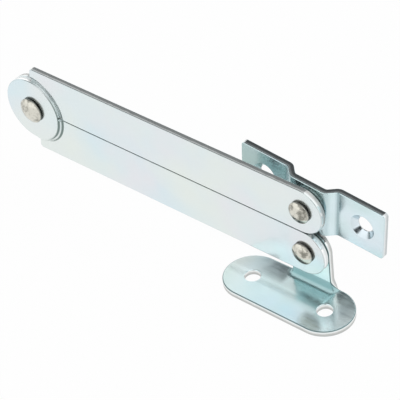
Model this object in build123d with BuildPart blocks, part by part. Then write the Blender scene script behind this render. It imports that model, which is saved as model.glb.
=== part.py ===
from build123d import *
import os
from math import cos, radians, sin, sqrt, tan

# A folding lid stay: two flat steel arms joined by a knuckle rivet, a wall bracket riveted behind
# the end of one arm and a foot plate riveted behind the end of the other. It is drawn folded, the
# arms edge to edge. The foot plate's two screw holes straddle the origin and its underside is
# z = 0; the arms lie along X, their faces towards -Y and the wall towards +Y.

# ---- Driving dimensions, in millimetres and degrees ----
sheet = 2.0  # every pressing is cut from strip of this thickness
play = 0.05  # slack between faces that slide over each other, and round each rivet's shoulder

arm_width = 16.0
arm_reach = 112.0  # from the knuckle to the pivot at each arm's other end
arm_corner = 1.2
arm_seam = 0.3  # gap between the folded arms
butt_slant = 8.0  # the arms' butt ends lean this far from square
butt_setback = 1.8  # the butt ends' line passes this far from the knuckle's centre
butt_gap = 0.15  # left between the butt ends when the stay is straight

lobe_radius = 11.5
step_slope = 45.0  # of the pressed step round each lobe, away from the arm's face
step_round = 0.5  # where the strip bends into and out of the step
lobe_clearance = 0.7  # between a lobe's rim and the foot of the step that it turns inside
pocket_flare = 0.6  # how much wider that step's mouth is than its foot

washer_thickness = 1.0
washer_radius = 7.0

bracket_height = 17.4
bracket_turn = 5.1  # the bracket has swung this far on its rivet, right end down
bracket_offset = 3.0  # how far its middle stands off the wall
bracket_middle = 13.2
bracket_left = 27.4
bracket_right = 26.4
bracket_corner = 1.2
bracket_bend = 1.2  # inside radius of its four bends
bracket_slope = 45.0
bracket_screw_pitch = 37.0
bracket_screw_radius = 2.6
countersink_radius = 4.3
countersink_angle = 90.0

foot_width = 19.0
foot_screw_pitch = 28.3
foot_screw_radius = 2.6
ear_radius = 7.25
ear_shift = 3.6  # the ear's pivot lies this far to the right of the middle of the foot
ear_height = 17.0  # from the foot's underside to its pivot
ear_bend = 1.5  # inside radius of the bend between foot and ear
ear_root = 2.0  # radius where the ear's sides run out into the foot

pivot_head_radius = 4.0
pivot_head_height = 2.2
pivot_shoulder_radius = 3.0
knuckle_head_radius = 4.8
knuckle_head_height = 2.4
knuckle_shoulder_radius = 3.5
head_rim = 0.6  # height of the straight rim under each domed head
tenon_radius = 2.2
tail_radius = 3.3
tail_height = 1.2
tail_round = 0.6

# ---- Depths, from the wall forwards ----
ear_back = foot_width / 2
ear_front = ear_back - sheet
arm_back = ear_front - washer_thickness - play
arm_front = arm_back - sheet
wall = ear_back + bracket_offset
step = (sheet + play) / 2  # each lobe is pressed this far out of its arm

# ---- Pivots ----
pivot_x = ear_shift
knuckle_x = pivot_x - arm_reach
seam_z = ear_height + (arm_width + arm_seam) / 2
bracket_z = seam_z + (arm_width + arm_seam) / 2


def front_plane(y, x=0.0, z=0.0):
    """The plane at depth y that faces the front, its local origin over x and z."""
    return Plane(origin=(x, y, z), x_dir=(1, 0, 0), z_dir=(0, -1, 0))


def turning_plane(x, z):
    """The upright plane through a pivot that its round parts are revolved from, its x axis the depth."""
    return Plane(origin=(x, 0, z), x_dir=(0, 1, 0), z_dir=(1, 0, 0))


def butt_end(z, side):
    """Where a butt end runs, from the knuckle, at a height z above it."""
    setback = -side * butt_setback + butt_gap / 2
    return (setback + z * sin(radians(butt_slant))) / cos(radians(butt_slant))


def pressed_arm(label, side, knuckle_bore):
    """The arm above the seam (side 1), its lobe pressed back, or the one below it (side -1), its lobe
    pressed forward."""
    near = side * arm_seam / 2
    far = near + side * arm_width
    middle = (near + far) / 2
    with BuildSketch(front_plane(arm_back + step, knuckle_x, seam_z)) as outline:
        with BuildLine():
            Polyline(
                (arm_reach, near), (butt_end(near, side), near), (butt_end(far, side), far), (arm_reach, far)
            )
            ThreePointArc((arm_reach, far), (arm_reach + arm_width / 2, middle), (arm_reach, near))
        make_face()
        outer_corners = outline.vertices().sort_by(Axis.X)[:2].sort_by(Axis.Y)
        fillet(outer_corners[-1 if side > 0 else 0], arm_corner)

    shift = side * step
    skin, mouth = (arm_back, arm_front) if side > 0 else (arm_front, arm_back)
    step_top = lobe_radius + step_round * tan(radians(step_slope) / 2)
    step_foot = step_top + step / tan(radians(step_slope))
    pocket = lobe_radius + lobe_clearance
    whole = arm_reach + arm_width
    knuckle_axis = Axis((knuckle_x, 0, seam_z), (0, 1, 0))
    with BuildPart() as arm:
        # Strip on both sides of a round pressed step, cut to the arm's outline.
        with BuildSketch(turning_plane(knuckle_x, seam_z)) as section:
            with BuildLine():
                Polyline(
                    (skin + shift, 0),
                    (skin + shift, step_top),
                    (skin, step_foot),
                    (skin, whole),
                    (mouth, whole),
                    (mouth, pocket + pocket_flare),
                    (mouth + shift, pocket),
                    (mouth + shift, 0),
                    close=True,
                )
            make_face()
            fillet(section.vertices().filter_by_position(Axis.Y, lobe_radius, step_foot + step), step_round)
        revolve(axis=knuckle_axis)
        extrude(outline.sketch, amount=sheet + 2 * step, mode=Mode.INTERSECT)
        # The lobe, which overhangs the seam and the butt end.
        with BuildSketch(front_plane(arm_back + shift, knuckle_x, seam_z)):
            Circle(lobe_radius)
        extrude(amount=sheet)
        for x, z, bore in (
            (knuckle_x, seam_z, knuckle_bore),
            (pivot_x, seam_z + middle, pivot_shoulder_radius + play),
        ):
            with Locations(front_plane(arm_front - step, x, z)):
                Hole(bore)
    arm.part.label = label
    return arm.part


def shouldered_rivet(label, x, z, under_head, seat, tail, head_radius, head_height, shoulder_radius):
    """A rivet with a domed head in front, a shoulder that its moving arm turns on, and a formed tail
    behind."""
    dome = head_height - head_rim
    dome_radius = (head_radius**2 + dome**2) / (2 * dome)
    half = head_radius / 2
    sag = dome_radius - sqrt(dome_radius**2 - half**2)
    top = under_head - head_height
    with BuildPart() as rivet:
        with BuildSketch(turning_plane(x, z)):
            with BuildLine():
                ThreePointArc((top, 0), (top + sag, half), (under_head - head_rim, head_radius))
                Polyline(
                    (under_head - head_rim, head_radius),
                    (under_head, head_radius),
                    (under_head, shoulder_radius),
                    (seat, shoulder_radius),
                    (seat, tenon_radius),
                    (tail, tenon_radius),
                    (tail, tail_radius),
                    (tail + tail_height, tail_radius),
                    (tail + tail_height, 0),
                    (top, 0),
                )
            make_face()
        revolve(axis=Axis((x, 0, z), (0, 1, 0)))
        fillet(rivet.edges().group_by(Axis.Y)[-1], tail_round)
    rivet.part.label = label
    return rivet.part


def pivot_washer(label, x, z):
    """The plain washer that keeps an arm off the plate behind it."""
    with BuildPart() as washer:
        with BuildSketch(front_plane(ear_front, x, z)):
            Circle(washer_radius)
            Circle(pivot_shoulder_radius + play, mode=Mode.SUBTRACT)
        extrude(amount=washer_thickness)
    washer.part.label = label
    return washer.part


# ---- Foot plate: an obround with two screw holes, its ear bent up along the rear edge ----
ear_root_half = ear_radius + ear_root
bend_start = ear_back - sheet - ear_bend

# The ear is the bent strip, seen from its end, cut to the ear's outline, seen from the front.
with BuildPart() as ear:
    with BuildSketch(Plane.YZ.offset(ear_shift - ear_root_half)):
        with BuildLine():
            FilletPolyline(
                (0, sheet), (ear_front, sheet), (ear_front, ear_height + ear_radius), radius=ear_bend
            )
            offset(amount=sheet, side=Side.RIGHT)
        make_face()
    extrude(amount=2 * ear_root_half)
    with BuildSketch(front_plane(ear_back, ear_shift)):
        with BuildLine():
            Line((-ear_radius, ear_height), (-ear_radius, sheet + ear_root))
            RadiusArc((-ear_radius, sheet + ear_root), (-ear_root_half, sheet), -ear_root)
            Polyline((-ear_root_half, sheet), (-ear_root_half, 0), (ear_root_half, 0), (ear_root_half, sheet))
            RadiusArc((ear_root_half, sheet), (ear_radius, sheet + ear_root), -ear_root)
            Line((ear_radius, sheet + ear_root), (ear_radius, ear_height))
            ThreePointArc((ear_radius, ear_height), (0, ear_height + ear_radius), (-ear_radius, ear_height))
        make_face()
    extrude(amount=foot_width, mode=Mode.INTERSECT)

with BuildPart() as foot_plate:
    with BuildSketch():
        SlotCenterToCenter(foot_screw_pitch, foot_width)
        with Locations((ear_shift, ear_back)):
            Rectangle(2 * ear_root_half, 2 * (ear_back - bend_start), mode=Mode.SUBTRACT)
    extrude(amount=sheet)
    add(ear.part)
    with GridLocations(foot_screw_pitch, 0, 2, 1):
        Hole(foot_screw_radius)
    with Locations(front_plane(ear_front, ear_shift, ear_height)):
        Hole(tenon_radius, depth=2 * sheet)
foot_plate.part.label = "foot_plate"

# ---- Wall bracket: a strip with a raised middle and two screw wings ----
slope_run = bracket_offset / tan(radians(bracket_slope))
lean = radians(bracket_turn)
across = Plane(
    origin=(pivot_x, 0, bracket_z), x_dir=(cos(lean), 0, -sin(lean)), z_dir=(sin(lean), 0, cos(lean))
)
facing = Plane(origin=(pivot_x, wall - sheet, bracket_z), x_dir=across.x_dir, z_dir=(0, -1, 0))
with BuildPart() as wall_bracket:
    with BuildSketch(across.offset(-bracket_height / 2)):
        with BuildLine():
            FilletPolyline(
                (-bracket_left, wall - sheet),
                (-bracket_middle / 2 - slope_run, wall - sheet),
                (-bracket_middle / 2, ear_front),
                (bracket_middle / 2, ear_front),
                (bracket_middle / 2 + slope_run, wall - sheet),
                (bracket_right, wall - sheet),
                radius=[bracket_bend, bracket_bend + sheet, bracket_bend + sheet, bracket_bend],
            )
            offset(amount=sheet, side=Side.LEFT)
        make_face()
    extrude(amount=bracket_height)
    wing_ends = wall_bracket.faces().filter_by(across.location.x_axis).sort_by(across.location.x_axis)
    wing_corners = (wing_ends[0].edges() + wing_ends[-1].edges()).filter_by(Axis.Y)
    fillet(wing_corners, bracket_corner)
    with Locations(facing):
        with GridLocations(bracket_screw_pitch, 0, 2, 1):
            CounterSinkHole(
                bracket_screw_radius, countersink_radius, counter_sink_angle=countersink_angle
            )
        Hole(tenon_radius)
wall_bracket.part.label = "wall_bracket"

# ---- The arms: the lower one's lobe is pressed forwards, the upper one's backwards behind it ----
lower_arm = pressed_arm("lower_arm", -1, knuckle_shoulder_radius + play)
upper_arm = pressed_arm("upper_arm", 1, tenon_radius)

# ---- Rivets and washers ----
knuckle_rivet = shouldered_rivet(
    "knuckle_rivet",
    knuckle_x,
    seam_z,
    under_head=arm_front - step - play,
    seat=arm_front + step,
    tail=arm_back + step,
    head_radius=knuckle_head_radius,
    head_height=knuckle_head_height,
    shoulder_radius=knuckle_shoulder_radius,
)
pivots = {"bracket": bracket_z, "foot": ear_height}
fittings = [
    shouldered_rivet(
        f"{place}_rivet",
        pivot_x,
        z,
        under_head=arm_front - play,
        seat=ear_front,
        tail=ear_back,
        head_radius=pivot_head_radius,
        head_height=pivot_head_height,
        shoulder_radius=pivot_shoulder_radius,
    )
    for place, z in pivots.items()
]
washers = [pivot_washer(f"{place}_washer", pivot_x, z) for place, z in pivots.items()]

os.makedirs("parts", exist_ok=True)
pieces = [lower_arm, upper_arm, foot_plate.part, wall_bracket.part, knuckle_rivet, *fittings, *washers]
for piece in pieces:
    export_step(piece, f"parts/{piece.label}.step")
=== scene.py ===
from math import atan2, cos, hypot, pi, radians, sin, sqrt, tan

import bmesh
import bpy
from mathutils import Matrix, Vector
from mathutils.geometry import delaunay_2d_cdt


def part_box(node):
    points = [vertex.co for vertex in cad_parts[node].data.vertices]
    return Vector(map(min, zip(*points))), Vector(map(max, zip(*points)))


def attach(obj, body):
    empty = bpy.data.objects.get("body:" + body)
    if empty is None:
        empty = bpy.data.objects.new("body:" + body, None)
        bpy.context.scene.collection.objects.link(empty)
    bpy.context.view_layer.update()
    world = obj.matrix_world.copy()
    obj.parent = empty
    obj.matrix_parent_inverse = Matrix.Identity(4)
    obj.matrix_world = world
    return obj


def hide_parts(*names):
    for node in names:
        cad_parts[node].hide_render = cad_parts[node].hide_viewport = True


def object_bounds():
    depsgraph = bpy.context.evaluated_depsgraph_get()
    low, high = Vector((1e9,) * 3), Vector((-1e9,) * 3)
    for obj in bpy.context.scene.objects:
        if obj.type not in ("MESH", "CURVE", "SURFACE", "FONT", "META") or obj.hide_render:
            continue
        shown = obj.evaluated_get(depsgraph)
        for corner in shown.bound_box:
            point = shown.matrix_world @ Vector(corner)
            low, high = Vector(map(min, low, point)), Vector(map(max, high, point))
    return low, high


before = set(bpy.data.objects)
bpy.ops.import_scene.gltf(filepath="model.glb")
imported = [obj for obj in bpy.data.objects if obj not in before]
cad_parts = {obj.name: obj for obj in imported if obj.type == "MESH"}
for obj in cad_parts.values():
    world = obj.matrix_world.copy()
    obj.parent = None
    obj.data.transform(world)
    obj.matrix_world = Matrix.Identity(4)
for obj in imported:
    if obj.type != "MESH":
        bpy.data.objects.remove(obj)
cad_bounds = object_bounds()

# ======== The studio ========
# The stay stands on its foot plate on a white table, in a white tent. Two dim openings in the tent,
# one high on the left and one in front on the right, below the camera, show dark in the bright plating.
# The rest of its dark is painted shade and painted dark reflection in the plating's colours. Two soft
# boxes give the table its shadows.
mm = 0.001
VIEW_AZIMUTH = 44.65  # degrees round from the front
VIEW_ELEVATION = 39.6
VIEW_ROLL = -7.0
VIEW_DISTANCE = 634.7 * mm
VIEW_LENS = 185.34  # mm, on a 36 mm sensor
AIM_FROM_MIDDLE = Vector((13.1, -2.98, 3.4)) * mm
TABLE_SIZE = 6.0  # metres
TENT_WHITE = "#ffffff"
TENT_ON_PAINT = 0.72  # the strength of the tent's light on the table's paint
TENT_IN_PLATING = 0.14  # and how far above 1 it is where the plating shows it
OPENINGS = (  # its direction, how far round it is fully dim, where the tent is white again, and its colour
    (Vector((-0.54, 0.067, 0.84)), radians(25), radians(32.5), "#464c4e"),
    (Vector((0.42, -0.84, 0.34)), radians(15), radians(20), "#1c2022"),
)
TABLE_PAINT = "#f4f5f5"
SELF_LIT = 0.97  # the share of the table's white that no shadow takes away
MIRROR_LIT = 0.85  # that share where the plating shows the table
TWICE_LIT = 0.4  # and where plating shows it in other plating


def linear(hex_colour):
    """A Blender colour, with alpha, from an sRGB hex value."""
    parts = [int(hex_colour[i : i + 2], 16) / 255 for i in (1, 3, 5)]
    return (*[p / 12.92 if p <= 0.04045 else ((p + 0.055) / 1.055) ** 2.4 for p in parts], 1.0)


def add(tree, kind, settings=None, links=None):
    """Adds a node: settings are its properties, and links feed its inputs, by name or number, from a
    socket or with a value."""
    made = tree.nodes.new(kind)
    for name, value in (settings or {}).items():
        setattr(made, name, value)
    for name, value in (links or {}).items():
        if isinstance(value, bpy.types.NodeSocket):
            tree.links.new(value, made.inputs[name])
        else:
            made.inputs[name].default_value = value
    return made


def bare(owner):
    """The emptied node tree of a new material or world."""
    owner.use_nodes = True
    owner.node_tree.nodes.clear()
    return owner.node_tree


scene = bpy.context.scene
scene.view_settings.view_transform = "Standard"
low, high = cad_bounds
aim = (low + high) / 2 + AIM_FROM_MIDDLE
camera = bpy.data.objects.new("camera", bpy.data.cameras.new("camera"))
camera.data.lens = VIEW_LENS
camera.data.clip_start = 0.01
camera.matrix_world = (
    Matrix.Translation(aim)
    @ Matrix.Rotation(radians(VIEW_AZIMUTH), 4, "Z")
    @ Matrix.Rotation(radians(90 - VIEW_ELEVATION), 4, "X")
    @ Matrix.Rotation(radians(VIEW_ROLL), 4, "Z")
    @ Matrix.Translation((0, 0, VIEW_DISTANCE))
)
scene.collection.objects.link(camera)
scene.camera = camera

tent = bpy.data.worlds.new("white_tent")
scene.world = tent
tree = bare(tent)
direction = add(tree, "ShaderNodeTexCoord").outputs["Generated"]
ray = add(tree, "ShaderNodeLightPath").outputs
shown = add(
    tree, "ShaderNodeMath", {"operation": "SUBTRACT"}, {0: 1.0, 1: ray["Is Camera Ray"]}
).outputs["Value"]
tent_colour = linear(TENT_WHITE)
for middle, core, rim, dark in OPENINGS:
    towards = add(
        tree, "ShaderNodeVectorMath", {"operation": "DOT_PRODUCT"}, {0: direction, 1: middle.normalized()}
    ).outputs["Value"]
    opening = add(
        tree,
        "ShaderNodeMapRange",
        {"interpolation_type": "SMOOTHSTEP"},
        {"Value": towards, "From Min": cos(rim), "From Max": cos(core)},
    ).outputs["Result"]
    dimmed = add(
        tree, "ShaderNodeMath", {"operation": "MULTIPLY"}, {0: opening, 1: shown}
    ).outputs["Value"]
    tent_colour = add(
        tree, "ShaderNodeMix", {"data_type": "RGBA"}, {0: dimmed, 6: tent_colour, 7: linear(dark)}
    ).outputs[2]
strength = add(
    tree,
    "ShaderNodeMapRange",
    None,
    {"Value": ray["Is Diffuse Ray"], "To Min": 1.0, "To Max": TENT_ON_PAINT},
).outputs["Result"]
strength = add(
    tree,
    "ShaderNodeMath",
    {"operation": "MULTIPLY_ADD"},
    {0: ray["Is Glossy Ray"], 1: TENT_IN_PLATING, 2: strength},
).outputs["Value"]
background = add(tree, "ShaderNodeBackground", None, {"Color": tent_colour, "Strength": strength})
add(tree, "ShaderNodeOutputWorld", None, {"Surface": background.outputs["Background"]})

# White painted board: a light of its own keeps it white, and the matt paint takes the stay's shadow.
table_white = bpy.data.materials.new("white_painted_board")
tree = bare(table_white)
ray = add(tree, "ShaderNodeLightPath").outputs
# A ray is 1 deep where it has left one surface, and 2 where it has left two.
mirrored = add(
    tree,
    "ShaderNodeMapRange",
    None,
    {"Value": ray["Ray Depth"], "From Min": 1.0, "From Max": 2.0, "To Min": MIRROR_LIT, "To Max": TWICE_LIT},
).outputs["Result"]
mirrored = add(
    tree, "ShaderNodeMath", {"operation": "MULTIPLY"}, {0: mirrored, 1: ray["Is Glossy Ray"]}
).outputs["Value"]
lit = add(
    tree,
    "ShaderNodeMath",
    {"operation": "MULTIPLY_ADD"},
    {0: ray["Is Camera Ray"], 1: SELF_LIT, 2: mirrored},
).outputs["Value"]
paint = add(tree, "ShaderNodeBsdfDiffuse", None, {"Color": linear(TABLE_PAINT)})
glow = add(tree, "ShaderNodeEmission", None, {"Color": linear(TENT_WHITE), "Strength": 1.0})
blend = add(
    tree, "ShaderNodeMixShader", None, {0: lit, 1: paint.outputs["BSDF"], 2: glow.outputs["Emission"]}
)
add(tree, "ShaderNodeOutputMaterial", None, {"Surface": blend.outputs["Shader"]})

table_mesh = bpy.data.meshes.new("table")
half = TABLE_SIZE / 2
corners = [(-half, -half, low.z), (half, -half, low.z), (half, half, low.z), (-half, half, low.z)]
table_mesh.from_pydata(corners, [], [(0, 1, 2, 3)])
table_mesh.materials.append(table_white)
table = bpy.data.objects.new("table", table_mesh)
scene.collection.objects.link(table)

# Where each soft box stands, seen from the stay, and how wide it is, in metres, and its watts.
for name, place, size, power in (
    ("front_soft_box", Vector((-0.55, -0.65, 0.75)), 0.9, 2.9),
    ("side_soft_box", Vector((0.65, 0.35, 0.75)), 0.7, 1.7),
):
    lamp = bpy.data.lights.new(name, "AREA")
    lamp.size = size
    lamp.energy = power
    stand = bpy.data.objects.new(name, lamp)
    stand.matrix_world = Matrix.Translation(aim + place) @ place.to_track_quat("Z", "Y").to_matrix().to_4x4()
    stand.visible_glossy = False
    scene.collection.objects.link(stand)

# ======== The lower arm ========
# A flat arm blanked from 2 mm cold-rolled strip, its round end pressed forward by half a thickness
# to lap the other arm's, then barrel-plated with zinc and passivated clear. Sizes are millimetres.
SHEET = 2.0
ROLLOVER = 0.30  # how far the punch rounds the edge that it meets first
BURR_ROUND = 0.10  # how far tumbling rounds the edge behind it
ROUND_STEPS = 3  # facets of either rounding
ARM_WIDTH = 16.0
ARM_CORNER = 1.2
ARM_SEAM = 0.3
BUTT_SLANT = radians(8)
BUTT_SETBACK = 1.8
BUTT_GAP = 0.15
LOBE_RADIUS = 11.5
STEP_HEIGHT = 1.025
STEP_ROUND = 0.5
SKIN_STEP = (11.71, 12.73)  # radii of the step's top and foot on the side that it stands out of
POCKET_STEP = (12.20, 12.80)  # and on the side where it is a pocket
KNUCKLE_BORE = 3.55
PIVOT_BORE = 3.05
ARC_STEP = radians(6)
SMOOTH_CORNER = radians(30)  # edges that turn by less are shaded as one
WALL_LEAN = 0.1  # a facet whose normals lean by less is the punched wall
LONG_EDGE = 0.98  # how squarely across the strip the wall of its long edges faces, as a cosine
LOBE_CREASES = (-0.4, *(0.1 * i for i in range(-1, 19)), 2.2)  # how far outside the lobe each lies
LOBE_CREASE_ARC = (radians(-8), radians(110))
NUDGE = 0.02  # how far to either side the press is tried, to find how it turns the steel
BEND_REACH = 0.26  # and to find how sharply it bends it
HOLE_MARGIN = 1.0  # how far round a hole its rim gets no painted rim shade
NEAR = 0.01  # places nearer than this are the same
SLIVER = 1e-9  # a triangle smaller than this is none
ZINC = "#e4eef0"
ZINC_BLUE = "#dcedf3"
ZINC_ROSE = "#ebebef"
ZINC_STRAW = "#e9f0ec"
# Painted shade for bends and the lobe's step, on plating that stretching also dulls.
ZINC_STRETCHED_AND_SHADED = "#7c8c88"
# Painted shade for rims, standing for a dark reflection along them.
ZINC_PAINTED_RIM_SHADE = "#48585a"
BENT_FULLY = 0.6  # the strain of the hardest bend: from there to 1, a rim is darkened with painted shade
STRETCHED_DULL = 0.27  # how much rougher a strain of 1 leaves the plating
STEP_DULLED_AND_SHADED = 0.8  # how much the step's stretching dulls it, and painted shade darkens it, where it is held by the seam
STEP_FREE, STEP_HELD = 5.0, 11.0  # from where to where along the arm that comes on
ARM_PAINTED_RIM_SHADE = 0.15  # how much painted shade, standing for a dark reflection, lines the arms' rounded rims
FILM_PATCH = 22.0  # how wide the faint colours of the passivate run
FILM_SHOWS = (0.42, 0.72)  # from where to where in the noise a colour comes on
SMEAR_PATCH = 5.0
WAVE_LENGTH = 6.0
ROLLED_LINE = (12.0, 0.6, 0.25)  # length, depth and spacing: real ones are finer
TEAR_LENGTH = 2.2
TEAR_GRAIN = 0.4
ZINC_SHAVED = "#fafcfc"
ZINC_BURNISHED = "#e6ebeb"
ZINC_TORN = "#c6c7c5"


def laid_over(tree, colour, tint, cause, start, full, easing="LINEAR"):
    """A colour under a tint that comes on as its cause rises from start to full, and how far it has."""
    share = add(
        tree,
        "ShaderNodeMapRange",
        {"interpolation_type": easing},
        {"Value": cause, "From Min": start, "From Max": full},
    ).outputs["Result"]
    mixed = add(tree, "ShaderNodeMix", {"data_type": "RGBA"}, {0: share, 6: colour, 7: linear(tint)})
    return mixed.outputs[2], share


def plated_strip(name, zinc, stretched, *tints):
    """Bright zinc plate over cold-rolled strip: a clear, faintly coloured mirror, softened by the
    rolled surface's fine lines and slight waves. It is duller where the press stretched it, and there
    painted shade darkens it, standing for the shade and dark reflections of bends and steps. Rims get
    a darker painted shade, standing for a dark reflection."""
    material = bpy.data.materials.new(name)
    tree = bare(material)
    place = add(tree, "ShaderNodeTexCoord").outputs["Object"]
    # The passivate's film is thicker here and thinner there, which tints the mirror.
    film = add(
        tree, "ShaderNodeTexNoise", None, {"Vector": place, "Scale": 1 / (FILM_PATCH * mm), "Detail": 2.0}
    ).outputs["Color"]
    parts = add(tree, "ShaderNodeSeparateColor", None, {"Color": film}).outputs
    colour = linear(zinc)
    for part, tint in zip(parts, tints):
        colour, _ = laid_over(tree, colour, tint, part, *FILM_SHOWS)
    # Painted shade: this attribute darkens bends and steps with the stretched colour, and rims with the rim
    # colour, for their shade and dark reflections. It also roughens the plating, further down.
    strain_and_shade = add(tree, "ShaderNodeAttribute", {"attribute_name": "strain_and_shade"}).outputs["Fac"]
    colour, _ = laid_over(tree, colour, stretched, strain_and_shade, 0.0, BENT_FULLY)
    colour, _ = laid_over(tree, colour, ZINC_PAINTED_RIM_SHADE, strain_and_shade, BENT_FULLY, 1.0)
    # The rolls' fine lines run along the strip, and handling has smeared them.
    lines = add(
        tree,
        "ShaderNodeMapping",
        None,
        {"Vector": place, "Scale": [1 / (size * mm) for size in ROLLED_LINE]},
    ).outputs["Vector"]
    lines = add(
        tree, "ShaderNodeTexNoise", None, {"Vector": lines, "Scale": 1.0, "Detail": 3.0}
    ).outputs["Fac"]
    smear = add(
        tree, "ShaderNodeTexNoise", None, {"Vector": place, "Scale": 1 / (SMEAR_PATCH * mm), "Detail": 4.0}
    ).outputs["Fac"]
    gloss = add(tree, "ShaderNodeMath", {"operation": "ADD"}, {0: lines, 1: smear}).outputs["Value"]
    gloss = add(
        tree,
        "ShaderNodeMapRange",
        None,
        {"Value": gloss, "From Min": 0.7, "From Max": 1.3, "To Min": 0.15, "To Max": 0.25},
    ).outputs["Result"]
    gloss = add(
        tree, "ShaderNodeMath", {"operation": "MULTIPLY_ADD"}, {0: strain_and_shade, 1: STRETCHED_DULL, 2: gloss}
    ).outputs["Value"]
    wave = add(
        tree, "ShaderNodeTexNoise", None, {"Vector": place, "Scale": 1 / (WAVE_LENGTH * mm), "Detail": 1.0}
    ).outputs["Fac"]
    bump = add(tree, "ShaderNodeBump", None, {"Strength": 0.6, "Distance": 0.05 * mm, "Height": wave})
    bump = add(
        tree,
        "ShaderNodeBump",
        None,
        {"Strength": 0.12, "Distance": 0.01 * mm, "Height": lines, "Normal": bump.outputs["Normal"]},
    )
    steel = add(
        tree,
        "ShaderNodeBsdfPrincipled",
        None,
        {"Base Color": colour, "Metallic": 1.0, "Roughness": gloss, "Normal": bump.outputs["Normal"]},
    )
    add(tree, "ShaderNodeOutputMaterial", None, {"Surface": steel.outputs["BSDF"]})
    return material


def sheared_edge(name, burnished, broken):
    """Zinc plate over a punched edge: burnished smooth where the punch cut, then torn and dull
    where the strip broke away."""
    material = bpy.data.materials.new(name)
    tree = bare(material)
    place = add(tree, "ShaderNodeTexCoord").outputs["Object"]
    through = add(tree, "ShaderNodeUVMap", {"uv_map": "shear"}).outputs["UV"]
    through = add(tree, "ShaderNodeSeparateXYZ", None, {"Vector": through}).outputs["Y"]
    # The tear starts at an uneven line, a third to half of the way through.
    uneven = add(
        tree, "ShaderNodeTexNoise", None, {"Vector": place, "Scale": 1 / (TEAR_LENGTH * mm), "Detail": 3.0}
    ).outputs["Fac"]
    ragged = add(
        tree, "ShaderNodeMath", {"operation": "MULTIPLY_ADD"}, {0: uneven, 1: 0.3, 2: through}
    ).outputs["Value"]
    colour, torn = laid_over(tree, linear(burnished), broken, ragged, 0.5, 0.75)
    gloss = add(
        tree, "ShaderNodeMapRange", None, {"Value": torn, "To Min": 0.12, "To Max": 0.4}
    ).outputs["Result"]
    grain = add(
        tree, "ShaderNodeTexNoise", None, {"Vector": place, "Scale": 1 / (TEAR_GRAIN * mm), "Detail": 2.0}
    ).outputs["Fac"]
    height = add(tree, "ShaderNodeMath", {"operation": "MULTIPLY"}, {0: grain, 1: torn}).outputs["Value"]
    bump = add(tree, "ShaderNodeBump", None, {"Strength": 0.5, "Distance": 0.05 * mm, "Height": height})
    steel = add(
        tree,
        "ShaderNodeBsdfPrincipled",
        None,
        {"Base Color": colour, "Metallic": 1.0, "Roughness": gloss, "Normal": bump.outputs["Normal"]},
    )
    add(tree, "ShaderNodeOutputMaterial", None, {"Surface": steel.outputs["BSDF"]})
    return material


def centre_of(node):
    """The middle of a CAD node's box, in millimetres."""
    low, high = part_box(node)
    return (low + high) / (2 * mm)


def arc(centre, radius, start, end):
    """Points along an arc, from one angle to another."""
    count = max(2, round(abs(end - start) / ARC_STEP))
    angles = [start + (end - start) * i / count for i in range(count + 1)]
    return [Vector((centre[0] + radius * cos(a), centre[1] + radius * sin(a))) for a in angles]


def rounded(corners):
    """An outline through corners, each (u, v, radius)."""
    points = []
    for i, (u, v, radius) in enumerate(corners):
        here = Vector((u, v))
        before = (Vector(corners[i - 1][:2]) - here).normalized()
        after = (Vector(corners[(i + 1) % len(corners)][:2]) - here).normalized()
        if radius == 0:
            points.append(here)
            continue
        half = before.angle(after) / 2
        middle = here + (before + after).normalized() * radius / sin(half)
        start = here + before * radius / tan(half) - middle
        sweep = (pi - 2 * half) * (1 if before.cross(after) < 0 else -1)
        angle = atan2(start.y, start.x)
        points += arc(middle, radius, angle, angle + sweep)
    return points


def mitre(loop, i):
    """How a loop's point moves outwards when its two edges move out by 1, with those edges' normals."""
    sides = []
    for a, b in ((loop[i - 1], loop[i]), (loop[i], loop[(i + 1) % len(loop)])):
        along = (b - a).normalized()
        sides.append(Vector((along.y, -along.x)))
    return (sides[0] + sides[1]) / (1 + sides[0].dot(sides[1])), sides[0], sides[1]


def inside(point, loop):
    """Whether a point is in a loop."""
    crossings = 0
    for a, b in zip(loop, loop[1:] + loop[:1]):
        if (a.y > point.y) != (b.y > point.y):
            crossings += point.x < a.x + (b.x - a.x) * (point.y - a.y) / (b.y - a.y)
    return crossings % 2 == 1


def quarter(radius, skin, inwards):
    """Stations round an edge, from the skin at this depth to the wall: how far out of the blank, how
    deep, and how far the normal leans towards the back skin, before the station and after it."""
    made = []
    for i in range(ROUND_STEPS + 1):
        turned = pi / 2 * i / ROUND_STEPS
        lean = -inwards * pi / 2 * (1 - 2 / pi * turned)
        made.append((radius * sin(turned), skin + inwards * radius * (1 - cos(turned)), lean, lean))
    return made


# From the front skin, round a punched edge, to the back skin.
PUNCHED = (
    quarter(ROLLOVER, 0, 1)
    + [(ROLLOVER - BURR_ROUND + out, *rest) for out, *rest in reversed(quarter(BURR_ROUND, SHEET, -1))]
    + [(0, SHEET, pi / 2, pi / 2)]
)


def overhang(stations):
    """How far stations stand out of the skin."""
    return max(station[0] for station in stations)


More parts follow.
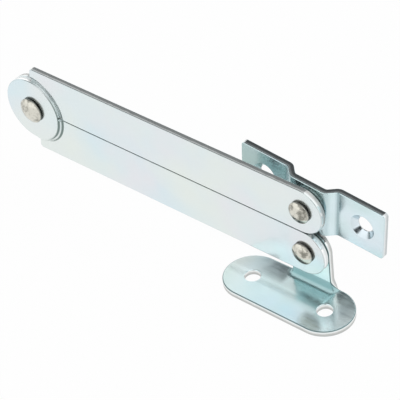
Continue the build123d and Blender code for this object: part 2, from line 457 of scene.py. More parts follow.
def cut(outline, holes, creases):
    """The skin of a blank, up to where its edges start to round: points, and the triangles between
    them, which follow the creases."""
    loops = [[outline[i] - mitre(outline, i)[0] * overhang(PUNCHED) for i in range(len(outline))]]
    for u, v, radius, stations in holes:
        loops.append(arc((u, v), radius + overhang(stations), 0, 2 * pi)[:-1])
    points, edges = [], []
    for line, closed in [(loop, True) for loop in loops] + [(crease, False) for crease in creases]:
        start, count = len(points), len(line)
        points += line
        edges += [(start + i, start + (i + 1) % count) for i in range(count if closed else count - 1)]
    # 0 asks for all triangles out to the convex hull. Those on the steel are kept.
    spots, _, triangles, *_ = delaunay_2d_cdt(points, edges, [], 0, 1e-6)
    kept = []
    for triangle in triangles:
        a, b, c = (spots[i] for i in triangle)
        area = (b - a).cross(c - a)
        middle = (a + b + c) / 3
        on_steel = inside(middle, loops[0]) and not any(inside(middle, loop) for loop in loops[1:])
        if abs(area) > SLIVER and on_steel:
            kept.append(triangle if area > 0 else triangle[::-1])
    used = sorted({i for triangle in kept for i in triangle})
    number = {spot: i for i, spot in enumerate(used)}
    return [spots[i] for i in used], [[number[i] for i in triangle] for triangle in kept]


def rims(spots, triangles, holes):
    """Goes round the skin's outline and each of its holes, with the stations of that edge."""
    # A side that only one triangle has is on one of them.
    sides = dict.fromkeys((triangle[i], triangle[(i + 1) % 3]) for triangle in triangles for i in range(3))
    following = {a: b for a, b in sides if (b, a) not in sides}
    while following:
        chain = [next(iter(following))]
        while chain[-1] in following:
            chain.append(following.pop(chain[-1]))
        stations = PUNCHED
        for u, v, radius, hole_stations in holes:
            if (spots[chain[0]] - Vector((u, v))).length < radius + overhang(hole_stations) + NEAR:
                stations = hole_stations
        yield chain[:-1], stations


def punched_blank(outline, holes, creases):
    """A blank cut from strip to an outline with holes, each (u, v, radius, stations): its points, its
    faces, what surface each is (0 skin, 1 punched wall, 2 the wall of a long edge), and for each of
    their corners the normal, and how deep in the sheet it lies."""
    spots, triangles = cut(outline, holes, creases)
    count = len(spots)
    places = [(*spot, 0.0) for spot in spots] + [(*spot, SHEET) for spot in spots]
    faces, kinds, leans, depths = [], [], [], []
    for a, b, c in triangles:
        faces += [(a, b, c), (c + count, b + count, a + count)]
        kinds += [0, 0]
        leans += [(0, 0, -1)] * 3 + [(0, 0, 1)] * 3
        depths += [0.0] * 3 + [SHEET] * 3
    for chain, stations in rims(spots, triangles, holes):
        loop = [spots[i] for i in chain]
        moves = [mitre(loop, i) for i in range(len(loop))]
        rings = [chain]
        for out, depth, _, _ in stations[1:-1]:
            rings.append(range(len(places), len(places) + len(chain)))
            places += [(*(spot + move[0] * out), depth) for spot, move in zip(loop, moves)]
        rings.append([i + count for i in chain])
        for near, far, ring, next_ring in zip(stations, stations[1:], rings, rings[1:]):
            for i in range(len(chain)):
                j = (i + 1) % len(chain)
                faces.append((ring[i], next_ring[i], next_ring[j], ring[j]))
                wall = max(abs(near[3]), abs(far[2])) < WALL_LEAN
                kinds.append(0 if not wall else 2 if abs(moves[i][2].y) > LONG_EDGE else 1)
                for k, depth, lean in (
                    (i, near[1], near[3]),
                    (i, far[1], far[2]),
                    (j, far[1], far[2]),
                    (j, near[1], near[3]),
                ):
                    _, before_normal, after_normal = moves[k]
                    side = after_normal if k == i else before_normal
                    if before_normal.dot(after_normal) > cos(SMOOTH_CORNER):
                        side = (before_normal + after_normal).normalized()
                    leans.append((side.x * cos(lean), side.y * cos(lean), sin(lean)))
                    depths.append(depth)
    return places, faces, kinds, leans, depths


def press(name, node, body, outline, holes, creases, form, plating, dulled_and_shaded, rubbed):
    """A pressing, made as the real one is: its blank is brought to shape by form(u, v, depth), and
    creases are where it bends. Plating is what its skins, its edges and, if they differ, its long edges
    wear. A bend strains it by a share given for (u, v) times its sharpness, which dulls its plating and
    darkens it with painted shade, and its rounded rims get painted shade, standing for a dark reflection."""
    places, faces, kinds, leans, depths = punched_blank(outline, holes, creases)
    axes = [Vector(axis) for axis in ((1, 0, 0), (0, 1, 0), (0, 0, 1))]

    def stretched(place, along):
        """How the steel at a place on the blank lies after the press, along some of the blank's axes."""
        return [form(*(place + axis * NUDGE)) - form(*(place - axis * NUDGE)) for axis in along]

    def facing(place):
        """Which way the front skin faces at a place on the blank after the press."""
        forward, upward = stretched(place, axes[:2])
        return forward.cross(upward)

    # Every point moves to where the form puts it, and its normals turn with the steel.
    formed, turning, strains_and_shades = [], [], []
    for place in map(Vector, places):
        formed.append(form(*place) * mm)
        turning.append(Matrix(stretched(place, axes)).inverted())
        # How sharply the steel bends here sets its strain, which dulls the plating and adds painted shade.
        here = Vector((place.x, place.y, 0))
        bend = max(
            facing(here - axis * BEND_REACH).angle(facing(here + axis * BEND_REACH)) for axis in axes[:2]
        )
        sharpness = bend / (2 * BEND_REACH) * SHEET
        strain_and_shade = BENT_FULLY * min(1.0, sharpness * dulled_and_shaded(place.x, place.y))
        by_hole = any(
            hypot(place.x - u, place.y - v) <= radius + HOLE_MARGIN for u, v, radius, _ in holes
        )
        # Front rims away from holes get painted shade, standing for a dark reflection along them.
        if 0 < place.z <= ROLLOVER and not by_hole:
            strain_and_shade = max(strain_and_shade, rubbed)
        strains_and_shades.append(strain_and_shade)
    mesh = bpy.data.meshes.new(name)
    mesh.from_pydata(formed, [], faces)
    for coat in plating:
        mesh.materials.append(coat)
    mesh.polygons.foreach_set("material_index", [min(kind, len(plating) - 1) for kind in kinds])
    mesh.shade_smooth()
    mesh.attributes.new("strain_and_shade", "FLOAT", "POINT").data.foreach_set("value", strains_and_shades)
    shear = mesh.uv_layers.new(name="shear")
    shear.data.foreach_set("uv", [value for depth in depths for value in (0.0, depth / SHEET)])
    corners = [i for face in faces for i in face]
    mesh.normals_split_custom_set(
        [(turning[i] @ Vector(lean)).normalized() for i, lean in zip(corners, leans)]
    )
    piece = bpy.data.objects.new(name, mesh)
    scene.collection.objects.link(piece)
    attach(piece, body)
    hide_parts(node)
    return piece


def step_lift(radius, step):
    """How far the pressed step stands out at a radius from the knuckle."""
    top, foot = step
    slope = atan2(STEP_HEIGHT, foot - top)
    reach = STEP_ROUND * tan(slope / 2)
    if radius <= top - reach:
        return STEP_HEIGHT
    if radius >= foot + reach:
        return 0.0
    if radius < top - reach + STEP_ROUND * sin(slope):
        return STEP_HEIGHT - STEP_ROUND + sqrt(STEP_ROUND**2 - (radius - top + reach) ** 2)
    if radius > foot + reach - STEP_ROUND * sin(slope):
        return STEP_ROUND - sqrt(STEP_ROUND**2 - (foot + reach - radius) ** 2)
    return STEP_HEIGHT * (foot - radius) / (foot - top)


def arm(name, node, body, side, knuckle_bore, plating, dulled_and_shaded):
    """An arm above the seam (side 1), its lobe pressed back, or below it (side -1), pressed forward.
    On its blank, u runs from the knuckle along the arm, and v up from the seam."""
    knuckle = centre_of("knuckle_rivet")
    pivot_reach = centre_of("foot_rivet").x - knuckle.x
    near = ARM_SEAM / 2
    far = near + ARM_WIDTH
    middle = (near + far) / 2

    def butt(v):
        """Where the slanted butt end is, v from the seam."""
        return (BUTT_GAP / 2 - side * BUTT_SETBACK + side * v * sin(BUTT_SLANT)) / cos(BUTT_SLANT)

    # Where the butt end runs into the lobe.
    lean = side * tan(BUTT_SLANT)
    offset = butt(0)
    meet = (sqrt((offset * lean) ** 2 - (1 + lean**2) * (offset**2 - LOBE_RADIUS**2)) - offset * lean) / (
        1 + lean**2
    )
    end = pivot_reach + ARM_WIDTH / 2
    seam_reach = sqrt(LOBE_RADIUS**2 - near**2)
    full_round = ARM_WIDTH / 2 - 1e-4  # short of half the width, so that the two corners don't meet
    strip = rounded(
        [
            (seam_reach, near, 0),
            (end, near, full_round),
            (end, far, full_round),
            (butt(far), far, ARM_CORNER),
            (butt(meet), meet, 0),
        ]
    )
    lobe = arc((0, 0), LOBE_RADIUS, atan2(meet, butt(meet)), 2 * pi + atan2(near, seam_reach))[1:-1]
    outline = strip + lobe
    holes = [(0, 0, knuckle_bore, PUNCHED), (pivot_reach, middle, PIVOT_BORE, PUNCHED)]
    creases = [arc((0, 0), LOBE_RADIUS + out, *LOBE_CREASE_ARC) for out in LOBE_CREASES]
    if side < 0:
        outline = [Vector((p.x, -p.y)) for p in reversed(outline)]
        holes = [(u, -v, radius, stations) for u, v, radius, stations in holes]
        creases = [[Vector((p.x, -p.y)) for p in crease] for crease in creases]
    low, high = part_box(node)
    face = low.y / mm if side > 0 else high.y / mm - SHEET
    front_step, back_step = (POCKET_STEP, SKIN_STEP) if side > 0 else (SKIN_STEP, POCKET_STEP)

    def form(u, v, depth):
        """The arm's blank, with its lobe pressed out of line and put in place."""
        radius = hypot(u, v)
        front, back = step_lift(radius, front_step), step_lift(radius, back_step)
        lift = front + (back - front) * depth / SHEET
        return Vector((knuckle.x + u, face + depth + side * lift, knuckle.z + v))

    press(name, node, body, outline, holes, creases, form, plating, dulled_and_shaded, ARM_PAINTED_RIM_SHADE)


def lobe_dulled(u, v):
    """How far the step's stretching dulls it and painted shade darkens it: fully beside the seam, from
    STEP_HELD along the arm, and not at all short of STEP_FREE.
    """
    return STEP_DULLED_AND_SHADED * min(1.0, max(0.0, (u - STEP_FREE) / (STEP_HELD - STEP_FREE)))


# The arms' passivate is nearly clear: a white mirror with a breath of blue, rose and straw in it.
zinc_on_arm = plated_strip("bright_zinc_on_arm", ZINC, ZINC_STRETCHED_AND_SHADED, ZINC_BLUE, ZINC_ROSE, ZINC_STRAW)
# This arm's edge is shaved, which leaves hardly any tear, so that its round end turns freely. It
# shines as bright as the skin.
shaved = sheared_edge("zinc_on_shaved_arm_edge", ZINC_SHAVED, ZINC_BURNISHED)
arm("plated_lower_arm", "lower_arm", "lower", -1, KNUCKLE_BORE, (zinc_on_arm, shaved), lobe_dulled)

# ======== The upper arm ========
# The lower arm's twin, turned over: its round end is pressed back, behind the other's. It comes
# from the same strip, but its edges are left as the punch and the slitting rolls made them.
TENON_RADIUS = 2.2
POCKET_DULLED_AND_SHADED = 0.08  # how much the step's stretching dulls it, and painted shade darkens it
# The slit edges' colours are darker partly for their tear and partly as painted shade for a dark reflection.
ARM_SLIT_BURNISHED_AND_SHADED = "#b0b3b3"
ARM_SLIT_TORN_AND_SHADED = "#8d9191"

# Punched ends shine where the punch cut. Long edges are greyer, partly because slitting tears more and
# partly as painted shade for a dark reflection.
punched = sheared_edge("zinc_on_punched_arm_edge", ZINC_BURNISHED, ZINC_TORN)
slit_and_shaded = sheared_edge("shaded_zinc_on_slit_arm_edge", ARM_SLIT_BURNISHED_AND_SHADED, ARM_SLIT_TORN_AND_SHADED)
arm(
    "plated_upper_arm",
    "upper_arm",
    "upper",
    1,
    TENON_RADIUS,
    (zinc_on_arm, punched, slit_and_shaded),
    lambda u, v: POCKET_DULLED_AND_SHADED,
)

# ======== The wall bracket ========
# A strip of the same plated steel, bent twice each way so that its middle stands off the wall,
# with a countersunk screw hole in each wing. It has swung a little on its rivet.
CROPPED_BURNISHED = "#e3e7e8"
CROPPED_TORN = "#c9cdce"
# The slit edges' colours are darker partly for their tear and partly as painted shade for a dark reflection.
SLIT_BURNISHED_AND_SHADED = "#6f7475"
SLIT_TORN_AND_SHADED = "#4e5253"
BRACKET_ZINC = "#dff3f8"
BRACKET_BLUE = "#d2eff7"
BRACKET_ROSE = "#e2edf3"
BRACKET_TEAL = "#cbded8"
BRACKET_STRETCHED_AND_SHADED = "#688b8f"
BRACKET_HEIGHT = 17.4
BRACKET_TURN = radians(5.1)
BRACKET_OFFSET = 3.0
BRACKET_MIDDLE = 13.2
BRACKET_LEFT = 27.4
BRACKET_RIGHT = 26.4
BRACKET_CORNER = 1.2
BRACKET_BEND = 1.2
BRACKET_SCREWS = 37.0
SCREW_RADIUS = 2.6
COUNTERSINK_RADIUS = 4.3
BEND_STEPS = 6  # facets round a bend
BEND_SHADE = 0.7  # how far beside a bend the plating is duller, and darkened with painted shade
CREASE_PAST = 1.0  # how far past the blank's edges its creases are drawn
# How much the bracket's bends dull it and painted shade darkens them, and how much painted shade, standing
# for a dark reflection, lines its rims.
BRACKET_DULLED_AND_SHADED = 0.35
BRACKET_PAINTED_RIM_SHADE = 0.06
LIP_OUT, LIP_DEPTH = 0.05, 0.06  # how far the screw hole's far edge is rounded


def bent(corners, turn):
    """The line that a strip's front skin follows, through corners (p, q, bend radius): a function of the
    length along it that gives a place and the direction in which the depth runs, and where each bend's
    creases are. Turn is 1 where the depth is to the line's left."""
    pieces, creases = [], []
    here, run = Vector(corners[0][:2]), 0.0
    for i in range(1, len(corners)):
        corner = Vector(corners[i][:2])
        along = (corner - here).normalized()
        radius = corners[i][2]
        if radius:
            onward = (Vector(corners[i + 1][:2]) - corner).normalized()
            bend = along.angle(onward)
            corner = corner - along * radius * tan(bend / 2)
        pieces.append((run, here, along, 0.0, 0.0))
        run, here = run + (corner - here).length, corner
        if radius:
            left = 1 if along.cross(onward) > 0 else -1
            pieces.append((run, here, along, radius, left))
            creases += [run + radius * bend * k / BEND_STEPS for k in range(BEND_STEPS + 1)]
            creases += [run - BEND_SHADE, run + radius * bend + BEND_SHADE]
            run += radius * bend
            here = corner + (along + onward) * radius * tan(bend / 2)

    def at(s):
        """The place at this length, and which way the depth runs there."""
        start, origin, along, radius, left = [p for p in pieces if p[0] <= s][-1] if s > 0 else pieces[0]
        across = Vector((-along.y, along.x))
        if radius:
            turned_by = (s - start) / radius
            origin = origin + along * radius * sin(turned_by) + across * left * radius * (1 - cos(turned_by))
            along = along * cos(turned_by) + across * left * sin(turned_by)
            return origin, Vector((-along.y, along.x)) * turn
        return origin + along * (s - start), across * turn

    return at, creases, run


# A screw's head sinks into a cone, whose mouth is hardly rounded, and which ends in a short
# straight hole.
cone = COUNTERSINK_RADIUS - SCREW_RADIUS
COUNTERSUNK = [
    (0.0, 0.0, -pi / 2, -pi / 2),
    (0.08, 0.03, -pi / 3, -pi / 3),
    (0.14, 0.09, -pi / 4, -pi / 4),
    (cone + LIP_OUT, cone, -pi / 4, 0.0),
    (cone + LIP_OUT, SHEET - LIP_DEPTH, 0.0, pi / 4),
    (cone, SHEET, pi / 4, pi / 2),
    (0.0, SHEET, pi / 2, pi / 2),
]
half = BRACKET_MIDDLE / 2
strip_line, strip_creases, strip_length = bent(
    [
        (-BRACKET_LEFT, BRACKET_OFFSET, 0),
        (-half - BRACKET_OFFSET, BRACKET_OFFSET, BRACKET_BEND),
        (-half, 0, BRACKET_BEND + SHEET),
        (half, 0, BRACKET_BEND + SHEET),
        (half + BRACKET_OFFSET, BRACKET_OFFSET, BRACKET_BEND),
        (BRACKET_RIGHT, BRACKET_OFFSET, 0),
    ],
    1,
)
bracket_pivot = centre_of("bracket_rivet")
bracket_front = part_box("wall_bracket")[0].y / mm


def bracket_form(s, v, depth):
    """The bracket's blank, bent, swung on its rivet and put in place."""
    place, inwards = strip_line(s)
    place = place + inwards * depth
    return Vector(
        (
            bracket_pivot.x + place.x * cos(BRACKET_TURN) + v * sin(BRACKET_TURN),
            bracket_front + place.y,
            bracket_pivot.z - place.x * sin(BRACKET_TURN) + v * cos(BRACKET_TURN),
        )
    )


# The bracket's passivate is bluer than the arms'. Its bends show teal: painted shade standing for what they
# reflect, on plating that bending dulls.
zinc_on_bracket = plated_strip(
    "bright_zinc_on_bracket", BRACKET_ZINC, BRACKET_STRETCHED_AND_SHADED, BRACKET_BLUE, BRACKET_ROSE, BRACKET_TEAL
)
# Its ends are cropped and bright. Its long edges are slit, torn and dark, their darkness partly painted
# shade for a dark reflection.
cropped = sheared_edge("zinc_on_cropped_bracket_end", CROPPED_BURNISHED, CROPPED_TORN)
slit_and_shaded = sheared_edge("shaded_zinc_on_slit_bracket_edge", SLIT_BURNISHED_AND_SHADED, SLIT_TORN_AND_SHADED)
rise = BRACKET_HEIGHT / 2
blank_corners = ((0, -rise), (strip_length, -rise), (strip_length, rise), (0, rise))
press(
    "plated_wall_bracket",
    "wall_bracket",
    "bracket",
    rounded([(s, v, BRACKET_CORNER) for s, v in blank_corners]),
    [
        (BRACKET_LEFT - BRACKET_SCREWS / 2, 0, SCREW_RADIUS, COUNTERSUNK),
        (strip_length - BRACKET_RIGHT + BRACKET_SCREWS / 2, 0, SCREW_RADIUS, COUNTERSUNK),
    ],
    [[Vector((s, -rise - CREASE_PAST)), Vector((s, rise + CREASE_PAST))] for s in strip_creases],
    bracket_form,
    (zinc_on_bracket, cropped, slit_and_shaded),
    lambda s, v: BRACKET_DULLED_AND_SHADED,
    BRACKET_PAINTED_RIM_SHADE,
)

# ======== The foot plate ========
# A round-ended plate of the same steel with two plain screw holes. The ear along its rear edge is
# bent up square. Its sides are drawn out of the plate in one sweep, and the bend has drawn the
# plate's rear edge up a little on either side of it.
FOOT_WIDTH = 19.0
FOOT_SCREWS = 28.3
EAR_RADIUS = 7.25
EAR_SHIFT = 3.6
EAR_HEIGHT = 17.0
EAR_BEND = 1.5
EAR_ROOT = 2.0
DRAWN_LEFT = (15.0, 2.0, 0.4)  # how far beside the ear, from how far behind the middle, and how high
DRAWN_RIGHT = (26.0, -5.0, 0.65)
DRAWN_CURVE = 1.7
DRAWN_ROWS = [k - 4.5 for k in range(14)]  # how far behind the middle its creases run, along the plate
DRAWN_STEP = 1.3  # between the points of such a crease
DRAWN_POINTS_LEFT, DRAWN_POINTS_RIGHT = 10, 9
ROOT_STEPS = 8  # how many creases cross each side of the ear's root, less one
ROOT_ROWS = [1.5 * k - 4.5 for k in range(7)]  # how far behind the middle their points are
# How much the foot's bend dulls it and painted shade tints it, and how much painted shade, standing for a
# dark reflection, lines its rims.
FOOT_DULLED_AND_SHADED = 0.75
FOOT_PAINTED_RIM_SHADE = 0.95
FOOT_ZINC = "#eefbfd"
FOOT_BLUE = "#d8f0f8"
FOOT_CYAN = "#def6f6"
FOOT_STRAW = "#ecf5f1"
FOOT_STRETCHED_AND_SHADED = "#a9c8ca"
FOOT_BURNISHED = "#eef1f0"

rear = FOOT_WIDTH / 2
bend_start = rear - SHEET - EAR_BEND
ear_line, ear_creases, _ = bent(
    [(-rear, SHEET, 0), (rear - SHEET, SHEET, EAR_BEND), (rear - SHEET, EAR_HEIGHT + EAR_RADIUS, 0)], -1
)
root_half = EAR_RADIUS + EAR_ROOT


def eased(share):
    """A share held between 0 and 1, and eased towards both."""
    share = min(1.0, max(0.0, share))
    return share**2 * (3 - 2 * share)


def foot_form(u, s, depth):
    """The foot's blank with its ear bent up. Beside the ear, the bend has drawn the rear edge up: less
    and less to the left, and right round the end on the right."""
    flat = Vector((u, s, SHEET - depth))
    side = u - EAR_SHIFT
    reach, start, rise = DRAWN_LEFT if side < 0 else DRAWN_RIGHT
    beside = eased(1 - max(0.0, abs(side) - root_half) / reach)
    behind = min(1.0, max(0.0, s - start) / (rear - start)) ** DRAWN_CURVE
    drawn = flat + Vector((0, 0, rise * beside * behind))
    if s > bend_start:
        place, inwards = ear_line(s + rear)
        place = place + inwards * depth
        flat = Vector((u, place.x, place.y))
    return drawn.lerp(flat, eased((root_half - abs(side)) / EAR_ROOT))


pivot_run = bend_start + EAR_BEND * pi / 2 + EAR_HEIGHT - SHEET - EAR_BEND
end = FOOT_SCREWS / 2
foot_outline = (
    arc((end, 0), rear, -pi / 2, pi / 2)
    + arc((EAR_SHIFT + root_half, rear + EAR_ROOT), EAR_ROOT, -pi / 2, -pi)
    + arc((EAR_SHIFT, pivot_run), EAR_RADIUS, 0, pi)
    + arc((EAR_SHIFT - root_half, rear + EAR_ROOT), EAR_ROOT, 0, -pi / 2)
    + arc((-end, 0), rear, pi / 2, 3 * pi / 2)
)
foot_creases = [
    [Vector((EAR_SHIFT - root_half, s - rear)), Vector((EAR_SHIFT + root_half, s - rear))]
    for s in ear_creases
]
for k in range(ROOT_STEPS + 1):
    beside = EAR_RADIUS + EAR_ROOT * k / ROOT_STEPS
    for u in (EAR_SHIFT - beside, EAR_SHIFT + beside):
        foot_creases.append([Vector((u, s)) for s in (*ROOT_ROWS, bend_start)])
        foot_creases.append([Vector((u, bend_start)), Vector((u, rear + EAR_ROOT))])
for s in DRAWN_ROWS:
    right = [Vector((EAR_SHIFT + root_half + DRAWN_STEP * i, s)) for i in range(DRAWN_POINTS_RIGHT)]
    left = [Vector((EAR_SHIFT - root_half - DRAWN_STEP * i, s)) for i in range(DRAWN_POINTS_LEFT)]
    foot_creases += [right, left] if s > 0 else [right]

# The foot's passivate is the bluest. It stays brighter than the others where it is bent, tinted a pale teal
# painted shade for what the bend reflects, and its rims carry a dark painted shade for a dark reflection.
# Its edge is punched all round.
zinc_on_foot = plated_strip(
    "bright_zinc_on_foot", FOOT_ZINC, FOOT_STRETCHED_AND_SHADED, FOOT_BLUE, FOOT_CYAN, FOOT_STRAW
)
punched = sheared_edge("zinc_on_punched_foot_edge", FOOT_BURNISHED, ZINC_TORN)
press(
    "plated_foot_plate",
    "foot_plate",
    "foot",
    foot_outline,
    [(u, 0, SCREW_RADIUS, PUNCHED) for u in (-end, end)] + [(EAR_SHIFT, pivot_run, TENON_RADIUS, PUNCHED)],
    foot_creases,
    foot_form,
    (zinc_on_foot, punched),
    lambda u, s: FOOT_DULLED_AND_SHADED,
    FOOT_PAINTED_RIM_SHADE,
)

# ======== The pivot washers ========
# A plain washer, stamped from steel and zinc-plated, keeps each arm off the plate behind it. The
# rivet's tenon passes through it and holds it.
WASHER_RADIUS = 7.0
WASHER_BORE = 2.3
WASHER_EDGE = 0.2
WASHER_PATCH = 2.5
WASHER_ROUGHNESS = 0.28
WASHER_GREY = "#b9bdbb"
WASHER_DULL = "#8f9594"
WASHER_PAINTED_SHADE = "#5c6160"
SIDES = 72  # of every round part
FILLET_STEPS = 9  # facets round each of its rounded corners
WELD = 0.001  # points nearer than this become one


def mottled_steel(name, bright, dull, dark, patch, roughness):
    """Plated steel that a tool has pressed hard: its bright zinc is rubbed dull in patches this many
    millimetres wide, which also scatter the light more. Painted shade darkens it where it is tucked under a
    rim or hidden in a bore."""
    material = bpy.data.materials.new(name)
    tree = bare(material)
    place = add(tree, "ShaderNodeTexCoord").outputs["Object"]
    worn = add(
        tree,
        "ShaderNodeTexNoise",
        None,
        {"Vector": place, "Scale": 1 / (patch * mm), "Detail": 5.0, "Roughness": 0.6},
    ).outputs["Fac"]
    colour, worn = laid_over(tree, linear(bright), dull, worn, 0.42, 0.68, "SMOOTHSTEP")
    # Painted shade darkens what is tucked under a rim, in a bore or at the back, where shade falls.
    tucked_shade = add(tree, "ShaderNodeAttribute", {"attribute_name": "tucked_shade"}).outputs["Fac"]
    colour, _ = laid_over(tree, colour, dark, tucked_shade, 0.3, 0.8, "SMOOTHSTEP")
    gloss = add(
        tree, "ShaderNodeMapRange", None, {"Value": worn, "To Min": roughness, "To Max": roughness + 0.15}
    ).outputs["Result"]
    pits = add(
        tree, "ShaderNodeTexNoise", None, {"Vector": place, "Scale": 4 / (patch * mm), "Detail": 2.0}
    ).outputs["Fac"]
    bump = add(tree, "ShaderNodeBump", None, {"Strength": 0.35, "Distance": 0.05 * mm, "Height": pits})
    steel = add(
        tree,
        "ShaderNodeBsdfPrincipled",
        None,
        {"Base Color": colour, "Metallic": 1.0, "Roughness": gloss, "Normal": bump.outputs["Normal"]},
    )
    add(tree, "ShaderNodeOutputMaterial", None, {"Surface": steel.outputs["BSDF"]})
    return material


def turning_tree(name, stations):
    """A Geometry Nodes tree that rounds the corners of a profile and spins it about a pivot. A station
    is (radius, depth behind the pivot, corner radius, how much painted shade it takes where it is tucked
    under or hidden), each a number or the name of an input."""
    tree = bpy.data.node_groups.new(name, "GeometryNodeTree")
    for size in dict.fromkeys(part for station in stations for part in station if isinstance(part, str)):
        tree.interface.new_socket(size, in_out="INPUT", socket_type="NodeSocketFloat")
    tree.interface.new_socket("Pivot", in_out="INPUT", socket_type="NodeSocketVector")
    tree.interface.new_socket("Steel", in_out="INPUT", socket_type="NodeSocketMaterial")
    tree.interface.new_socket("Geometry", in_out="OUTPUT", socket_type="NodeSocketGeometry")
    given = add(tree, "NodeGroupInput").outputs
    index = add(tree, "GeometryNodeInputIndex").outputs["Index"]
    chosen = []
    for parts in zip(*stations):
        choice = add(tree, "GeometryNodeIndexSwitch", {"data_type": "FLOAT"}, {"Index": index})
        while len(choice.index_switch_items) < len(stations):
            choice.index_switch_items.new()
        for i, part in enumerate(parts):
            if isinstance(part, str):
                tree.links.new(given[part], choice.inputs[str(i)])
            else:
                choice.inputs[str(i)].default_value = part
        chosen.append(choice.outputs["Output"])
    radius, depth, fillet, tucked_shade = chosen
    line = add(tree, "GeometryNodeMeshLine", None, {"Count": len(stations)}).outputs["Mesh"]
    profile = add(tree, "GeometryNodeMeshToCurve", None, {"Mesh": line}).outputs["Curve"]
    spot = add(tree, "ShaderNodeCombineXYZ", None, {"X": radius, "Y": depth}).outputs["Vector"]
    profile = add(
        tree, "GeometryNodeSetPosition", None, {"Geometry": profile, "Position": spot}
    ).outputs["Geometry"]
    profile = add(
        tree,
        "GeometryNodeStoreNamedAttribute",
        {"data_type": "FLOAT"},
        {"Geometry": profile, "Name": "tucked_shade", "Value": tucked_shade},
    ).outputs["Geometry"]
    profile = add(
        tree,
        "GeometryNodeFilletCurve",
        {"mode": "POLY"},
        {"Curve": profile, "Count": FILLET_STEPS, "Radius": fillet, "Limit Radius": True},
    ).outputs["Curve"]
    count = add(tree, "GeometryNodeAttributeDomainSize", {"component": "CURVE"}, {"Geometry": profile})
    count = count.outputs["Point Count"]
    skin = add(tree, "GeometryNodeMeshGrid", None, {"Vertices X": SIDES + 1, "Vertices Y": count})
    # Down the grid's columns run the profile's points, and its rows run round the pivot.
    row = add(tree, "FunctionNodeIntegerMath", {"operation": "MODULO"}, {0: index, 1: count}).outputs[0]
    column = add(tree, "FunctionNodeIntegerMath", {"operation": "DIVIDE_FLOOR"}, {0: index, 1: count})
    angle = add(
        tree, "ShaderNodeMath", {"operation": "MULTIPLY"}, {0: column.outputs[0], 1: 2 * pi / SIDES}
    ).outputs["Value"]
    here = add(tree, "GeometryNodeInputPosition").outputs["Position"]
    spot = add(
        tree,
        "GeometryNodeSampleIndex",
        {"data_type": "FLOAT_VECTOR"},
        {"Geometry": profile, "Value": here, "Index": row},
    ).outputs["Value"]
    spot = add(
        tree, "ShaderNodeVectorRotate", {"rotation_type": "Y_AXIS"}, {"Vector": spot, "Angle": angle}
    ).outputs["Vector"]
    skin = add(
        tree,
        "GeometryNodeSetPosition",
        None,
        {"Geometry": skin.outputs["Mesh"], "Position": spot, "Offset": given["Pivot"]},
    ).outputs["Geometry"]
    named = add(tree, "GeometryNodeInputNamedAttribute", {"data_type": "FLOAT"}, {"Name": "tucked_shade"})
    tucked_shade = add(
        tree,
        "GeometryNodeSampleIndex",
        {"data_type": "FLOAT"},
        {"Geometry": profile, "Value": named.outputs["Attribute"], "Index": row},
    ).outputs["Value"]
    skin = add(
        tree,
        "GeometryNodeStoreNamedAttribute",
        {"data_type": "FLOAT"},
        {"Geometry": skin, "Name": "tucked_shade", "Value": tucked_shade},
    ).outputs["Geometry"]
    skin = add(
        tree, "GeometryNodeMergeByDistance", None, {"Geometry": skin, "Distance": WELD * mm}
    ).outputs["Geometry"]
    skin = add(tree, "GeometryNodeRealizeInstances", None, {"Geometry": skin}).outputs["Geometry"]
    skin = add(
        tree, "GeometryNodeSetMaterial", None, {"Geometry": skin, "Material": given["Steel"]}
    ).outputs["Geometry"]
    add(tree, "NodeGroupOutput", None, {"Geometry": skin})
    return tree


def turn(name, node, body, slot, tree, steel, pivot, sizes):
    """One turned part: the tree's inputs are set, with sizes turned from millimetres to metres, and its
    result becomes a plain mesh."""
    blank = bpy.data.objects.new(name, bpy.data.meshes.new(name))
    scene.collection.objects.link(blank)
    modifier = blank.modifiers.new("turning", "NODES")
    modifier.node_group = tree
    given = {size: value * mm for size, value in sizes.items()} | {"Pivot": pivot, "Steel": steel}
    for socket in tree.interface.items_tree:
        if socket.in_out == "INPUT":
            modifier[socket.identifier] = given[socket.name]
    mesh = bpy.data.meshes.new_from_object(blank.evaluated_get(bpy.context.evaluated_depsgraph_get()))
    blank.modifiers.remove(modifier)
    shell = bmesh.new()
    shell.from_mesh(mesh)
    bmesh.ops.remove_doubles(shell, verts=shell.verts, dist=WELD / 2 * mm)
    bmesh.ops.recalc_face_normals(shell, faces=shell.faces)
    shell.to_mesh(mesh)
    shell.free()
    mesh.shade_smooth()
    # Each point's normal leans to its larger faces, which keeps the flats flat beside round corners.
    normals = [Vector() for _ in mesh.vertices]
    for face in mesh.polygons:
        for i in face.vertices:
            normals[i] += face.normal * face.area
    mesh.normals_split_custom_set_from_vertices([normal.normalized() for normal in normals])
    mesh.name = name
    blank.data = mesh
    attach(blank, body)
    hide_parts(node)
    return blank


# A stamped washer is grey all over. Painted shade darkens its bore and its back, where it sits between
# parts.
washer_steel = mottled_steel(
    "zinc_on_stamped_washer", WASHER_GREY, WASHER_DULL, WASHER_PAINTED_SHADE, WASHER_PATCH, WASHER_ROUGHNESS
)
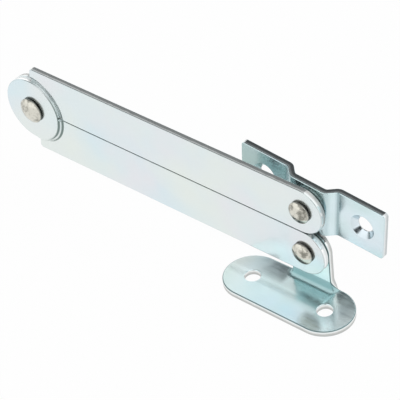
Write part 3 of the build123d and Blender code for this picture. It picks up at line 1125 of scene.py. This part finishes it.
# The fourth number of each station is its painted shade: in the bore and at the back.
washer_tree = turning_tree(
    "pivot_washer",
    [
        ("Middle", "Front", 0, 0.0),
        ("Radius", "Front", "Edge", 0.0),
        ("Radius", "Back", "Edge", 0.6),
        ("Bore", "Back", "Edge", 1.0),
        ("Bore", "Front", "Edge", 1.0),
        ("Middle", "Front", 0, 0.0),
    ],
)
for place in ("foot", "bracket"):
    low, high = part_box(f"{place}_washer")
    turn(
        f"stamped_{place}_washer",
        f"{place}_washer",
        place,
        "washer_steel",
        washer_tree,
        washer_steel,
        Vector(((low.x + high.x) / 2, 0, (low.z + high.z) / 2)),
        {
            "Middle": (WASHER_RADIUS + WASHER_BORE) / 2,
            "Radius": WASHER_RADIUS,
            "Bore": WASHER_BORE,
            "Front": low.y / mm,
            "Back": high.y / mm,
            "Edge": WASHER_EDGE,
        },
    )

# ======== The rivets ========
# Soft steel, cold-headed with a low dome whose rim is rolled under, shouldered for the arm that
# turns on it, then zinc-plated. Its tenon is spread behind the last plate with a hammered tail.
HEAD_RIM = 0.9
RIM_ROUND = 0.35
RIM_UNDER = 0.5  # how far the rim draws in towards the face below it
TENON_ROUND = 0.1
TAIL_RADIUS = 3.3
TAIL_HEIGHT = 1.2
TAIL_ROUND = 0.6
RIVET_PATCH = 2.2
RIVET_ROUGHNESS = 0.14
RIVET_BRIGHT = "#dcdacf"
RIVET_DULL = "#8b8a81"
RIVET_PAINTED_SHADE = "#6c6a65"

# A rivet's zinc is a warmer white than the strip's, and the heading tool has left it blotched.
rivet_steel = mottled_steel(
    "zinc_on_headed_rivet", RIVET_BRIGHT, RIVET_DULL, RIVET_PAINTED_SHADE, RIVET_PATCH, RIVET_ROUGHNESS
)
# The fourth number of each station is its painted shade: under the rolled rim and down the shank.
rivet_tree = turning_tree(
    "headed_rivet",
    [
        (0, "Crown", 0, 0.0),
        ("Dome Spread", "Crown", "Dome Radius", 0.0),
        ("Head Radius", "Rim", "Rim Round", 0.5),
        ("Head Radius", "Rim Bottom", "Rim Round", 1.0),
        ("Rim Foot", "Under Head", "Tenon Round", 1.0),
        ("Shoulder Radius", "Under Head", "Tenon Round", 1.0),
        ("Shoulder Radius", "Seat", "Tenon Round", 1.0),
        ("Tenon Radius", "Seat", "Tenon Round", 1.0),
        ("Tenon Radius", "Tail", "Tenon Round", 1.0),
        ("Tail Radius", "Tail", "Tenon Round", 0.8),
        ("Tail Radius", "Tail End", "Tail Round", 0.0),
        (0, "Tail End", 0, 0.0),
    ],
)
# The head's radius and height, the shoulder's radius, and how far behind the head it seats.
for place, body, radius, height, shoulder, seat in (
    ("knuckle", "upper", 4.5, 2.4, 3.5, 2.1),
    ("foot", "foot", 3.75, 2.2, 3.0, 3.1),
    ("bracket", "bracket", 3.75, 2.2, 3.0, 3.1),
):
    low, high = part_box(f"{place}_rivet")
    crown, tail_end = low.y / mm, high.y / mm
    dome = height - HEAD_RIM
    under = crown + height
    turn(
        f"headed_{place}_rivet",
        f"{place}_rivet",
        body,
        "rivet_steel",
        rivet_tree,
        rivet_steel,
        Vector(((low.x + high.x) / 2, 0, (low.z + high.z) / 2)),
        {
            "Crown": crown,
            "Dome Spread": (radius**2 + dome**2) / (2 * radius),
            "Dome Radius": (radius**2 + dome**2) / (2 * dome),
            "Head Radius": radius,
            "Rim": under - HEAD_RIM,
            "Rim Round": RIM_ROUND,
            "Rim Bottom": under - HEAD_RIM / 3,
            "Rim Foot": radius - RIM_UNDER,
            "Under Head": under,
            "Shoulder Radius": shoulder,
            "Seat": under + seat,
            "Tenon Radius": TENON_RADIUS,
            "Tenon Round": TENON_ROUND,
            "Tail": tail_end - TAIL_HEIGHT,
            "Tail Radius": TAIL_RADIUS,
            "Tail End": tail_end,
            "Tail Round": TAIL_ROUND,
        },
    )
